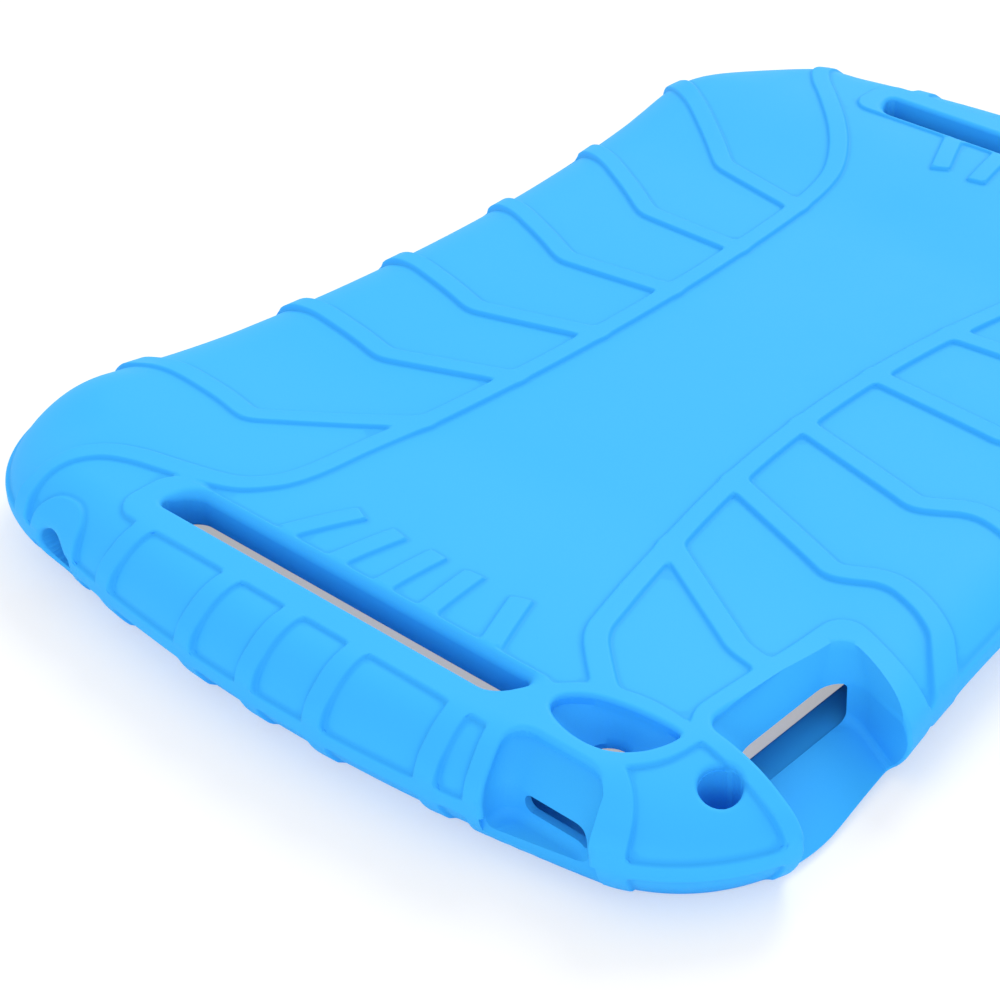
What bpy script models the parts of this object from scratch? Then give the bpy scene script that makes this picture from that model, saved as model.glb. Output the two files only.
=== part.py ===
"""Moulded silicone case for a small tablet, modelled back up, as it lies on its screen side.

The shell is one piece. Its waisted, pillow-like body carries a raised rib pattern, and it is
open for the screen, two strap slots, the camera, the power and volume buttons, the earphone
jack and the charging plug. Units in the constants are millimetres; the model is in metres.
"""
import math

import bmesh
import bpy
from mathutils import Vector

MM = 0.001

# Tablet that the case fits
TABLET_LENGTH = 203.2
TABLET_WIDTH = 134.8
TABLET_THICKNESS = 6.7
TABLET_RADIUS = 10.0
POCKET_GAP = 0.2
SCREEN_LIP = 5.6
SCREEN_RADIUS = 6.0

# Walls of the shell
LIP_HEIGHT = 4.2
BACK_WALL = 2.9
END_WALL = 4.9
SIDE_WALL = 7.8
POCKET_TOP = LIP_HEIGHT + TABLET_THICKNESS + POCKET_GAP
POCKET_MIDDLE = (LIP_HEIGHT + POCKET_TOP) / 2

# Outer body
WAIST_HALF_WIDTH = TABLET_WIDTH / 2 + SIDE_WALL
FLARE = 9.5
FLARE_REACH = 80.0
END_HALF_LENGTH = TABLET_LENGTH / 2 + END_WALL
END_BOW = 5.0
CORNER_RADIUS = 29.5
BACK_HEIGHT = POCKET_TOP + BACK_WALL
WIDEST_HEIGHT = POCKET_MIDDLE + 0.75
FOOT_INSET = 5.0
FOOT_POWER = 1.7
SHOULDER_END = 9.0
SHOULDER_SIDE = 12.0
SHOULDER_CORNER = 8.0
SHOULDER_POWER = 1.05

# Strap slot at each end
SLOT_INNER_X = TABLET_LENGTH / 2 - 11.7
SLOT_WIDTH = 6.2
SLOT_HALF_LENGTH = 36.8
SLOT_RADIUS = 2.4
SLOT_LEAN = 0.45
END_RISE = 3.0
RISE_LENGTH = 43.0
RISE_END = SLOT_INNER_X - 1.9
RISE_START = RISE_END - RISE_LENGTH

# Raised ribs
RIB_HEIGHT = 0.6
RIB_WIDTH = 4.2
RIB_FOOT = 1.9
MAIN_RIB_REACH = 60.0
MAIN_RIB_FAR = (23.0, 3.8)
MAIN_RIB_NEAR = (22.3, 8.7)
TURN_FAR = ((-22.4, -7.3), (-12.2, 0.0), (-0.9, 11.8), (4.1, 17.7), (9.1, 21.2), (28.1, 22.2))
TURN_NEAR = ((-19.9, -2.5), (-13.9, -0.5), (-9.2, 4.5), (-4.3, 10.4), (0.6, 16.7), (9.1, 21.2),
             (28.1, 22.2))
HOOK = ((22.1, 20.7), (16.1, 23.5), (12.1, 24.2), (7.5, 22.8), (2.1, 19.8), (-0.6, 14.0), (-1.9, 7.7),
        (-4.5, -2.8), (-7.1, -6.8), (-13.4, -10.6))
RIB_PITCH = 20.0
RIB_EDGE_Y = WAIST_HALF_WIDTH - 1.0
RIB_EDGE_FAR = (-67.0, -35.0, -11.0, 17.5, 45.0, 74.0)
RIB_EDGE_NEAR = (-74.0, -42.5, -17.5, 11.0, 38.5, 68.0)
RIB_KINK_FAR = 0.45
RIB_KINK_NEAR = 0.535
RIB_DIP_FAR = (10.3, 6.2, 6.2, 6.2, 6.2, 6.2)
RIB_DIP_NEAR = (0.9, 2.3, 2.3, 2.3, 2.3, 2.3)
RIB_WAVE_FAR = ((0.0, 0.0), (0.92, 0.97), (1.0, 1.03), (1.08, 0.98), (1.35, 0.65), (1.76, 0.27),
                (1.95, 0.12))
RIB_WAVE_NEAR = ((0.0, 0.0), (0.9, 0.9), (1.0, 1.1), (1.08, 0.7), (1.32, -1.65), (1.6, -1.5),
                 (1.8, -0.8))
RIB_OVERRUN = 20.0
TICK_Y = (16.5, 5.0, -5.0, -14.5, -27.5)
TICK_LEAN = (-5.0, -2.0, -0.4, 1.4, 4.8)
TICK_OUTER_X = SLOT_INNER_X - 1.3
TICK_LENGTH = 11.6
END_RIB_Y = (-33.5, -13.4, 0.0, 13.4, 33.5)
END_RIB_INNER_X = END_HALF_LENGTH - 8.3
END_RIB_FAN = 1.08
BELT_BOTTOM = WIDEST_HEIGHT - 1.5
BELT_TOP = WIDEST_HEIGHT + 1.2

# Raised frames round the openings
FRAME_BAND = 3.2
SLOT_BAND = 3.3
SLOT_BAND_SHIFT = 1.8
SLOT_BAND_END = 5.7
SLOT_BAND_RADIUS = 4.5
JACK_BAND = 1.5
JACK_FRAME_X = -TABLET_LENGTH / 2 - 2.4
JACK_FRAME_RADIUS = 5.0
PLUG_FRAME_X = TABLET_LENGTH / 2 + 5.0
PLUG_FRAME_RADIUS = 1.0

# Camera opening: a funnel from a pointed oval rim down to a round hole
CAMERA_X = 9.7 - TABLET_LENGTH / 2
CAMERA_Y = 14.4 - TABLET_WIDTH / 2
CAMERA_RADIUS = 3.7
CAMERA_THROAT = POCKET_TOP + 0.9
CAMERA_RIM = ((6.3, -7.8), (6.3, -4.0), (5.9, 0.8), (4.5, 6.6), (1.6, 10.2), (-1.2, 9.9),
              (-3.0, 6.0), (-3.7, 1.0), (-2.8, -3.4), (0.0, -6.6), (3.0, -8.0), (5.6, -8.6))
RIM_HEIGHT = BACK_HEIGHT + END_RISE

# Recess for the volume buttons, turned square to the flared side
VOLUME_X = (20.0 - TABLET_LENGTH / 2, 51.6 - TABLET_LENGTH / 2)
VOLUME_Y = 5.4 - TABLET_WIDTH / 2
VOLUME_LEAN = (0.17, 0.33)
VOLUME_DRAFT = 3.2
VOLUME_SILL = 0.6
VOLUME_FALL = 0.33
RECESS_RADIUS = 2.6
BOWL_RADIUS = 6.5

# Recess for the power button, with a slot through its wall for the button
POWER_X = 3.4 - TABLET_LENGTH / 2
POWER_Y = (7.4 - TABLET_WIDTH / 2, 25.9 - TABLET_WIDTH / 2)
POWER_LEAN = 0.32
POWER_DRAFT = 4.8
POWER_SILL = 2.2
POWER_FALL = 0.08
POWER_EDGE = (-2.4 - TABLET_LENGTH / 2, -6.0 - TABLET_LENGTH / 2)
POWER_TUCK = 3.0
POWER_NOTCH = 0.6
POWER_RADIUS = 4.5
POWER_POST = 1.8
BUTTON_Y = 13.4 - TABLET_WIDTH / 2
BUTTON_HEIGHT = POCKET_TOP - 1.8
BUTTON_SIZE = (12.4, 3.0)
BUTTON_RADIUS = 1.4

# Openings in the ends and at the near corner
JACK_Y = TABLET_WIDTH / 2 - 16.9
JACK_RADIUS = 3.85
JACK_MOUTH = (5.5, 4.0)
JACK_STRAIGHT = 1.0
PLUG_WIDTH = 15.0
PLUG_HEIGHT = 6.0
PLUG_ROUND = 2.4
LANYARD_X = 17.6 - END_HALF_LENGTH
LANYARD_Y = 4.4 - WAIST_HALF_WIDTH
LANYARD_RADIUS = 3.1
LANYARD_FLOOR = 5.0

# How far the cutters run past the shell
CLEAR = BACK_HEIGHT + END_RISE + 13.2
RUN_OUT = 40.0
INTO_POCKET = 5.0


def smooth(t):
    t = min(max(t, 0.0), 1.0)
    return t * t * (3 - 2 * t)


def half_width(x):
    return WAIST_HALF_WIDTH + FLARE * (min(abs(x), FLARE_REACH) / FLARE_REACH) ** 2


def half_length(y):
    return END_HALF_LENGTH + END_BOW * max(0.0, 1 - (y / corner_centre()[1]) ** 2)


def corner_start():
    """Place along the long side, and its slope, where the corner's arc begins."""
    x = END_HALF_LENGTH - CORNER_RADIUS
    for _ in range(20):
        slope = 2 * FLARE * x / FLARE_REACH ** 2
        x = END_HALF_LENGTH - CORNER_RADIUS - CORNER_RADIUS * math.sin(math.atan(slope))
    return x, slope


def corner_centre():
    x, slope = corner_start()
    turn = math.atan(slope)
    return END_HALF_LENGTH - CORNER_RADIUS, half_width(x) - CORNER_RADIUS * math.cos(turn)


def quarter_outline():
    """Outline from the middle of the +Y side to the middle of the +X end."""
    start, slope = corner_start()
    cx, cy = corner_centre()
    points = [(start * i / 7, half_width(start * i / 7)) for i in range(7)]
    top = math.pi / 2 + math.atan(slope)
    for i in range(9):
        angle = top * (1 - i / 8)
        points.append((cx + CORNER_RADIUS * math.cos(angle), cy + CORNER_RADIUS * math.sin(angle)))
    for i in range(1, 5):
        y = cy * (1 - i / 4)
        points.append((half_length(y), y))
    return points


def outline():
    """Closed outline, clockwise from above, and its outward normals."""
    quarter = quarter_outline()
    right = quarter + [(x, -y) for x, y in quarter[-2::-1]]
    points = [Vector(p) for p in right + [(-x, y) for x, y in right[-2:0:-1]]]
    normals = []
    for i, point in enumerate(points):
        along = points[(i + 1) % len(points)] - points[i - 1]
        normals.append(Vector((-along.y, along.x)).normalized())
    return points, normals


def back_height(x):
    """Height of the back over the middle of the case, which rises towards both ends."""
    return BACK_HEIGHT + END_RISE * smooth((abs(x) - RISE_START) / (RISE_END - RISE_START))


def shoulder_width(normal):
    """How far the rounded shoulder reaches inward, wider at the corners."""
    corner = (2 * normal.x * normal.y) ** 2
    return SHOULDER_END + (SHOULDER_SIDE - SHOULDER_END) * normal.y ** 2 + SHOULDER_CORNER * corner


def body_mesh(name, grow):
    """The pillow-shaped body, grown outward by `grow` on every side."""
    points, normals = outline()
    count = len(points)
    rings = []
    for down in (1.0, 0.75, 0.5, 0.25, 0.0):
        inset, height = FOOT_INSET * down ** FOOT_POWER, WIDEST_HEIGHT * (1 - down) - grow * down
        rings.append([(*(p + n * (grow - inset)), height) for p, n in zip(points, normals)])
    for angle in (22, 42, 60, 76, 90):
        inward = 1 - math.cos(math.radians(angle)) ** SHOULDER_POWER
        upward = math.sin(math.radians(angle)) ** SHOULDER_POWER
        ring = []
        for p, n in zip(points, normals):
            q = p + n * (grow - inward * shoulder_width(n))
            top = back_height(q.x) + grow
            ring.append((q.x, q.y, WIDEST_HEIGHT + (top - WIDEST_HEIGHT) * upward))
        rings.append(ring)
    for part in (0.84, 0.55):
        ring = [(x * part, y * part) for x, y, _ in rings[9]]
        rings.append([(x, y, back_height(x) + grow) for x, y in ring])
    mesh = bmesh.new()
    rows = [[mesh.verts.new(Vector(v) * MM) for v in ring] for ring in rings]
    for low, high in zip(rows, rows[1:]):
        for i in range(count):
            j = (i + 1) % count
            mesh.faces.new((low[i], high[i], high[j], low[j]))
    crown = mesh.verts.new((0, 0, (BACK_HEIGHT + grow) * MM))
    floor = mesh.verts.new((0, 0, -grow * MM))
    for i in range(count):
        j = (i + 1) % count
        mesh.faces.new((rows[-1][i], crown, rows[-1][j]))
        mesh.faces.new((rows[0][j], floor, rows[0][i]))
    bmesh.ops.triangulate(mesh, faces=mesh.faces)
    return finish_mesh(name, mesh)


def finish_mesh(name, mesh):
    bmesh.ops.recalc_face_normals(mesh, faces=mesh.faces)
    data = bpy.data.meshes.new(name)
    mesh.to_mesh(data)
    mesh.free()
    return bpy.data.objects.new(name, data)


def rounded_rectangle(cx, cy, length, width, radius, steps=4):
    points = []
    for quarter, (sx, sy) in enumerate(((1, 1), (-1, 1), (-1, -1), (1, -1))):
        for i in range(steps + 1):
            angle = math.pi / 2 * (quarter + i / steps)
            points.append((cx + sx * (length / 2 - radius) + radius * math.cos(angle),
                           cy + sy * (width / 2 - radius) + radius * math.sin(angle)))
    return points


def oval(cx, cy, across, up, steps=20):
    turns = (2 * math.pi * i / steps for i in range(steps))
    return [(cx + across * math.cos(turn), cy + up * math.sin(turn)) for turn in turns]


def level(points, height):
    """Outline laid at one height, or on a floor whose height is a function of the place."""
    rise = height if callable(height) else (lambda x, y: height)
    return [(x, y, rise(x, y)) for x, y in points]


def upright(points, x):
    """Outline stood up across the length of the case."""
    return [(x, y, z) for y, z in points]


def loft(name, rings):
    """Closed solid through rings of as many points each, with a cap at both ends."""
    mesh = bmesh.new()
    rows = [[mesh.verts.new(Vector(point) * MM) for point in ring] for ring in rings]
    mesh.faces.new(rows[0])
    mesh.faces.new(rows[-1])
    for low, high in zip(rows, rows[1:]):
        for i in range(len(low)):
            j = (i + 1) % len(low)
            mesh.faces.new((low[i], low[j], high[j], high[i]))
    bmesh.ops.triangulate(mesh, faces=mesh.faces)
    return finish_mesh(name, mesh)


def prism(name, points, bottom, top=CLEAR):
    """Upright prism over a plan outline."""
    return loft(name, (level(points, bottom), level(points, top)))


def ribbon(name, path, width):
    """Upright wall of a set width along a path, made solid by Solidify."""
    mesh = bmesh.new()
    low = [mesh.verts.new(Vector((x, y, RIB_FOOT)) * MM) for x, y in path]
    high = [mesh.verts.new(Vector((x, y, CLEAR)) * MM) for x, y in path]
    for i in range(len(path) - 1):
        mesh.faces.new((low[i], low[i + 1], high[i + 1], high[i]))
    wall = finish_mesh(name, mesh)
    solid = wall.modifiers.new("thickness", "SOLIDIFY")
    solid.thickness = width * MM
    solid.offset = 0
    solid.use_even_offset = True
    return wall


def main_rib_y(x, side):
    middle, spread = MAIN_RIB_FAR if side > 0 else MAIN_RIB_NEAR
    return middle + spread * (x / MAIN_RIB_REACH) ** 2


def main_rib(side):
    """Long curved rib on one side of the middle, turned outward round both slots."""
    steps = 10
    xs = [MAIN_RIB_REACH * (2 * i / steps - 1) for i in range(steps + 1)]
    path = [(x, main_rib_y(x, side)) for x in xs]
    turn, start = (TURN_FAR, HOOK) if side > 0 else (TURN_NEAR, TURN_NEAR[::-1])
    before = [(-SLOT_INNER_X - x, SLOT_HALF_LENGTH + y) for x, y in start]
    after = [(SLOT_INNER_X + x, SLOT_HALF_LENGTH + y) for x, y in turn]
    return [(x, side * y) for x, y in before + path + after]


def cross_rib(index, side):
    """Wavy rib from the main rib out over the long side, leaning away from the middle."""
    edges, dips, wave, kink = (RIB_EDGE_NEAR, RIB_DIP_NEAR, RIB_WAVE_NEAR, RIB_KINK_NEAR)
    if side > 0:
        edges, dips, wave, kink = (RIB_EDGE_FAR, RIB_DIP_FAR, RIB_WAVE_FAR, RIB_KINK_FAR)
    start_x = RIB_PITCH * (index - (len(edges) - 1) / 2)
    start_y = main_rib_y(start_x, side)
    path = []
    for share, dip in wave + ((1 / kink, 0.0),):
        along = share * kink
        x = start_x + (edges[index] - start_x) * along - dips[index] * dip
        path.append((x, side * (start_y + (RIB_EDGE_Y - start_y) * along)))
    end = Vector(path[-1])
    lean = (end - Vector(path[-2])).normalized()
    path.append(tuple(end + lean * RIB_OVERRUN))
    return path


def ticks(end):
    """Five short ribs beside a slot, fanned towards the middle of the case."""
    outer, inner = end * TICK_OUTER_X, end * (TICK_OUTER_X - TICK_LENGTH)
    return [((outer, y), (inner, y + lean)) for y, lean in zip(TICK_Y, TICK_LEAN)]


def raised_areas():
    """Upright solids over everything that stands one rib height proud of the body."""
    solids = []
    for side in (-1, 1):
        solids.append(ribbon("main_rib", main_rib(side), RIB_WIDTH))
        for index in range(len(RIB_EDGE_FAR)):
            solids.append(ribbon("cross_rib", cross_rib(index, side), RIB_WIDTH))
    for end in (-1, 1):
        frame = rounded_rectangle(
            end * (SLOT_INNER_X + SLOT_WIDTH / 2 + SLOT_BAND_SHIFT), 0.0, SLOT_WIDTH + 2 * SLOT_BAND,
            2 * (SLOT_HALF_LENGTH + SLOT_BAND_END), SLOT_BAND_RADIUS)
        solids.append(prism("slot_frame", frame, RIB_FOOT))
        inner, outer = end * END_RIB_INNER_X, end * (END_RIB_INNER_X + RIB_OVERRUN)
        for y in END_RIB_Y:
            solids.append(ribbon("end_rib", [(inner, y), (outer, y * END_RIB_FAN)], RIB_WIDTH))
        for start, stop in ticks(end):
            solids.append(ribbon("tick", [start, stop], RIB_WIDTH))
    solids.append(prism("camera_frame", camera_rim(FRAME_BAND), RIB_FOOT))
    solids.append(prism("volume_frame", volume_outline(FRAME_BAND), RIB_FOOT))
    solids.append(prism("power_frame", power_outline(FRAME_BAND, 0.0, POWER_POST), RIB_FOOT))
    jack = (-RUN_OUT - TABLET_LENGTH / 2, JACK_FRAME_X, JACK_Y - JACK_MOUTH[0], JACK_Y + JACK_MOUTH[0])
    plug = (PLUG_FRAME_X, TABLET_LENGTH / 2 + RUN_OUT, -PLUG_WIDTH / 2, PLUG_WIDTH / 2)
    jack_points = opening_outline(jack, JACK_BAND, JACK_FRAME_RADIUS)
    solids.append(prism("jack_frame", jack_points, RIB_FOOT))
    plug_points = opening_outline(plug, FRAME_BAND, PLUG_FRAME_RADIUS)
    solids.append(prism("plug_frame", plug_points, RIB_FOOT))
    return solids


def belt():
    """Horizontal band that stands proud round the whole side."""
    length, width = 2 * (END_HALF_LENGTH + RUN_OUT), 2 * (WAIST_HALF_WIDTH + RUN_OUT)
    return prism("belt", rounded_rectangle(0, 0, length, width, CORNER_RADIUS), BELT_BOTTOM, BELT_TOP)


def opening_outline(box, grow=0.0, radius=RECESS_RADIUS):
    left, right, near, far = box
    return rounded_rectangle((left + right) / 2, (near + far) / 2, right - left + 2 * grow,
                             far - near + 2 * grow, radius + grow)


def camera_rim(grow=0.0):
    """Pointed oval, as offsets from the middle of the camera, smoothed once."""
    points = []
    for i, (x, y) in enumerate(CAMERA_RIM):
        next_x, next_y = CAMERA_RIM[(i + 1) % len(CAMERA_RIM)]
        points += [(x + (next_x - x) / 4, y + (next_y - y) / 4),
                   (x + (next_x - x) * 3 / 4, y + (next_y - y) * 3 / 4)]
    spread = [1 + grow / math.hypot(x, y) for x, y in points]
    return [(CAMERA_X + x * k, CAMERA_Y + y * k) for (x, y), k in zip(points, spread)]


def camera_throat():
    """Round hole with a point under each point of the rim."""
    points = []
    for x, y in camera_rim():
        turn = math.atan2(y - CAMERA_Y, x - CAMERA_X)
        points.append((CAMERA_X + CAMERA_RADIUS * math.cos(turn),
                       CAMERA_Y + CAMERA_RADIUS * math.sin(turn)))
    return points


def volume_lean(points):
    """Turn a plan outline so that it runs square out of the flared side."""
    left, right = VOLUME_X
    turned = []
    for x, y in points:
        lean = VOLUME_LEAN[0] + (VOLUME_LEAN[1] - VOLUME_LEAN[0]) * (x - left) / (right - left)
        turned.append((x + lean * (y - VOLUME_Y), y))
    return turned


def volume_outline(grow=0.0, draft=0.0, radius=RECESS_RADIUS):
    box = (VOLUME_X[0], VOLUME_X[1] - draft, VOLUME_Y - RUN_OUT, VOLUME_Y - draft)
    return volume_lean(opening_outline(box, grow, radius))


def volume_floor(x, y):
    """The recess opens downward as it runs out over the side."""
    return LIP_HEIGHT + VOLUME_SILL + (y + TABLET_WIDTH / 2) * VOLUME_FALL


def power_lean(points):
    """Turn a plan outline so that it runs square out of the bowed end."""
    return [(x, y + POWER_LEAN * (x - POWER_X)) for x, y in points]


def power_outline(grow=0.0, draft=0.0, post=0.0):
    """Plan outline of the power recess; `post` widens it towards the near corner."""
    box = (POWER_X - RUN_OUT, POWER_X - draft, POWER_Y[0] - post, POWER_Y[1])
    return power_lean(opening_outline(box, grow, POWER_RADIUS))


def power_floor(x, y):
    return LIP_HEIGHT + POWER_SILL + (x + TABLET_LENGTH / 2) * POWER_FALL


def power_edge(tuck):
    """Where the foot of the end is cut away under the recess, `tuck` further in."""
    near, far = POWER_Y[0] - POWER_NOTCH, POWER_Y[1] + POWER_NOTCH
    out = POWER_X - RUN_OUT
    return power_lean([(POWER_EDGE[0] + tuck, near), (POWER_EDGE[1] + tuck, far), (out, far), (out, near)])


def slot_outline(end):
    """Slot across one end, its short sides slanted outward."""
    centre = SLOT_INNER_X + SLOT_WIDTH / 2
    flat = rounded_rectangle(centre, 0, SLOT_WIDTH, 2 * SLOT_HALF_LENGTH, SLOT_RADIUS)
    return [(end * x, y + SLOT_LEAN * (x - centre)) for x, y in flat]


def cutters():
    gap = 2 * POCKET_GAP
    pocket = rounded_rectangle(0, 0, TABLET_LENGTH + gap, TABLET_WIDTH + gap, TABLET_RADIUS, 5)
    screen = rounded_rectangle(0, 0, TABLET_LENGTH - 2 * SCREEN_LIP, TABLET_WIDTH - 2 * SCREEN_LIP,
                               SCREEN_RADIUS, 5)
    inside = POCKET_MIDDLE + 1.45
    solids = [prism("pocket_cut", pocket, LIP_HEIGHT, POCKET_TOP),
              prism("screen_cut", screen, -LIP_HEIGHT, inside)]
    for end in (-1, 1):
        solids.append(prism("slot_cut", slot_outline(end), inside))
    rim, throat = camera_rim(), camera_throat()
    solids.append(loft("camera_cut", (level(throat, inside), level(throat, CAMERA_THROAT),
                                      level(rim, RIM_HEIGHT), level(rim, CLEAR))))
    high, low = volume_outline(), volume_outline(0.0, VOLUME_DRAFT, BOWL_RADIUS)
    solids.append(loft("volume_cut", (level(low, volume_floor), level(low, POCKET_TOP),
                                      level(high, RIM_HEIGHT), level(high, CLEAR))))
    high, low = power_outline(), power_outline(0.0, POWER_DRAFT)
    solids.append(loft("power_cut", (level(low, power_floor), level(low, POCKET_TOP),
                                     level(high, RIM_HEIGHT), level(high, CLEAR))))
    tucked, plain = power_edge(POWER_TUCK), power_edge(0.0)
    solids.append(loft("power_edge_cut", (level(tucked, -CLEAR), level(tucked, 0.0),
                                          level(plain, LIP_HEIGHT), level(plain, POCKET_MIDDLE))))
    wall = -TABLET_LENGTH / 2
    button = rounded_rectangle(BUTTON_Y, BUTTON_HEIGHT, *BUTTON_SIZE, BUTTON_RADIUS)
    solids.append(loft("button_cut", (upright(button, wall + INTO_POCKET),
                                      upright(button, wall - INTO_POCKET))))
    hole = oval(JACK_Y, POCKET_MIDDLE, JACK_RADIUS, JACK_RADIUS)
    mouth = oval(JACK_Y, POCKET_MIDDLE, *JACK_MOUTH)
    solids.append(loft("jack_cut", (upright(hole, wall + INTO_POCKET), upright(hole, wall - JACK_STRAIGHT),
                                    upright(mouth, -END_HALF_LENGTH - END_BOW - 1.0))))
    lanyard = oval(LANYARD_X, LANYARD_Y, LANYARD_RADIUS, LANYARD_RADIUS)
    solids.append(prism("lanyard_cut", lanyard, LANYARD_FLOOR))
    plug = rounded_rectangle(0, POCKET_MIDDLE, PLUG_WIDTH, PLUG_HEIGHT, PLUG_ROUND)
    solids.append(loft("plug_cut", (upright(plug, -wall - INTO_POCKET), upright(plug, RUN_OUT - wall))))
    return solids


def add_boolean(target, other, operation, own=False):
    step = target.modifiers.new(other.name, "BOOLEAN")
    step.operation = operation
    step.solver = "EXACT"
    step.use_self = own
    step.object = other


def joined(name, objects, collection):
    """One mesh object from several, with their modifiers applied."""
    mesh = bmesh.new()
    for item in objects:
        collection.objects.link(item)
    graph = bpy.context.evaluated_depsgraph_get()
    for item in objects:
        data = bpy.data.meshes.new_from_object(item.evaluated_get(graph))
        before = len(mesh.faces)
        mesh.from_mesh(data)
        mesh.faces.ensure_lookup_table()
        bmesh.ops.recalc_face_normals(mesh, faces=mesh.faces[before:])
        bpy.data.meshes.remove(data)
    for item in objects:
        bpy.data.objects.remove(item)
    data = bpy.data.meshes.new(name)
    mesh.to_mesh(data)
    mesh.free()
    result = bpy.data.objects.new(name, data)
    collection.objects.link(result)
    return result


def silicone():
    material = bpy.data.materials.new("blue_silicone")
    material.use_nodes = True
    surface = material.node_tree.nodes["Principled BSDF"]
    surface.inputs["Base Color"].default_value = (0.055, 0.51, 1.0, 1.0)
    surface.inputs["Roughness"].default_value = 0.55
    surface.inputs["Metallic"].default_value = 0.0
    return material


def hide(item):
    item.hide_render = True
    item.display_type = "WIRE"


def build():
    for item in list(bpy.data.objects):
        bpy.data.objects.remove(item)
    parts = bpy.data.collections.new("silicone_tablet_case")
    guides = bpy.data.collections.new("cutters")
    for collection in (parts, guides):
        bpy.context.scene.collection.children.link(collection)

    shell = body_mesh("silicone_shell", 0.0)
    shell.data.materials.append(silicone())
    parts.objects.link(shell)

    relief = body_mesh("relief", RIB_HEIGHT)
    guides.objects.link(relief)
    areas = joined("raised_areas", raised_areas() + [belt()], guides)
    add_boolean(relief, areas, "INTERSECT", own=True)
    for item in (relief, areas):
        hide(item)

    add_boolean(shell, relief, "UNION")
    for cutter in cutters():
        guides.objects.link(cutter)
        hide(cutter)
        add_boolean(shell, cutter, "DIFFERENCE")


build()
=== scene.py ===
"""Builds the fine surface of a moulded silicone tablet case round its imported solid, and a studio.

The case is one moulding. Its back and sides are a pillow-shaped surface that is laid out flat,
triangulated along the flanks of the ribs and the rims of the openings, set back in place, raised by
a Geometry Nodes tree and then cut. Sizes in the constants and functions are in millimetres, and
those in the panel's properties are in metres.
"""

import math

import bmesh
import bpy
import numpy as np
from bpy.props import FloatProperty, FloatVectorProperty, PointerProperty
from mathutils import Matrix, Vector
from mathutils.geometry import delaunay_2d_cdt


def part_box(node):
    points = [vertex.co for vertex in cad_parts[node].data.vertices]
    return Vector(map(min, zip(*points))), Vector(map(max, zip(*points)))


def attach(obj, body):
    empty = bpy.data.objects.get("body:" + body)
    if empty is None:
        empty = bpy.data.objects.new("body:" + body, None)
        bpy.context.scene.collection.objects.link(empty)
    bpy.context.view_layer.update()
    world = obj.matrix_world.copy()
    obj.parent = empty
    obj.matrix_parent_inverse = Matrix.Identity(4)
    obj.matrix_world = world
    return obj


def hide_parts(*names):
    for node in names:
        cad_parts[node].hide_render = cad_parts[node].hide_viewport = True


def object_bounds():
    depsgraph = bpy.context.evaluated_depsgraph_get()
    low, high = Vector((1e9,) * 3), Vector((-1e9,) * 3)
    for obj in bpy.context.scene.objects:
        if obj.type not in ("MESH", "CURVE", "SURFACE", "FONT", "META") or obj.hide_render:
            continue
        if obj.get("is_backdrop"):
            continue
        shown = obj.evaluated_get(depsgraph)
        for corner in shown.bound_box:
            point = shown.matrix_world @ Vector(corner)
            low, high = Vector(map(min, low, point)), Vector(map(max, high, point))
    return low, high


bl_info = {
    "name": "Silicone Tablet Case",
    "version": (1, 0, 0),
    "blender": (4, 5, 0),
    "location": "View3D > Sidebar > Tablet Case",
    "description": "Builds a moulded silicone tablet case with raised grip ribs, and its studio",
    "category": "Add Mesh",
}

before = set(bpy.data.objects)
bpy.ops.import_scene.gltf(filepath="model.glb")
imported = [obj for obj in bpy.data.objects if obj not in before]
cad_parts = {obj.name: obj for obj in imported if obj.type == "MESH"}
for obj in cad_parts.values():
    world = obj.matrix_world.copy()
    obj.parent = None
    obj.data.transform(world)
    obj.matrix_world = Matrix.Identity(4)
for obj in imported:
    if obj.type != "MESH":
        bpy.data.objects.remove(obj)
CAD_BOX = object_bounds()
MM = 0.001
CAD_LOW, CAD_HIGH = (np.array(corner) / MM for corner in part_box("silicone_shell"))
CAD_RIB_HEIGHT = 0.6

# Tablet pocket
TABLET_LENGTH = 203.2
TABLET_WIDTH = 134.8
TABLET_RADIUS = 10.0
POCKET_GAP = 0.2
LIP_HEIGHT = 4.2
POCKET_TOP = 11.1
POCKET_MIDDLE = (LIP_HEIGHT + POCKET_TOP) / 2
SCREEN_LIP = 5.6
SCREEN_RADIUS = 6.0
POCKET_FILLET = 0.6
LIP_ROUNDING = (0.9, 0.7)

# Body
WAIST_HALF_WIDTH = 75.2
FLARE = 9.5
FLARE_REACH = 80.0
END_BOW = 5.0
CORNER_RADIUS = 29.5
END_RISE = 3.0
RISE_START = 45.0
RISE_END = 88.0
WIDEST_HEIGHT = 8.4
FOOT_INSET = 5.0
FOOT_POWER = 1.7
SHOULDER_END = 9.0
SHOULDER_SIDE = 12.0
SHOULDER_CORNER = 8.0
SHOULDER_POWER = 1.05
OUTLINE_STEP = 0.5
OUTLINE_SOFTNESS = 2.0

# Rib layout
MAIN_RIB_REACH = 60.0
MAIN_RIB_FAR = (23.0, 3.8)
MAIN_RIB_NEAR = (22.3, 8.7)
TURN_FAR = ((67.5, 29.5), (77.7, 36.8), (89.0, 48.6), (94.0, 54.5), (99.0, 58.0), (118.0, 59.0))
TURN_NEAR = ((70.0, 34.3), (76.0, 36.3), (80.7, 41.3), (85.6, 47.2), (90.5, 53.5), (99.0, 58.0),
             (118.0, 59.0))
HOOK = ((-112.0, 57.5), (-106.0, 60.3), (-102.0, 61.0), (-97.4, 59.6), (-92.0, 56.6), (-89.3, 50.8),
        (-88.0, 44.5), (-85.4, 34.0), (-82.8, 30.0), (-76.5, 26.2))
RIB_PITCH = 20.0
RIB_EDGE_Y = 74.2
RIB_EDGE_FAR = (-67.0, -35.0, -11.0, 17.5, 45.0, 74.0)
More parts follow.
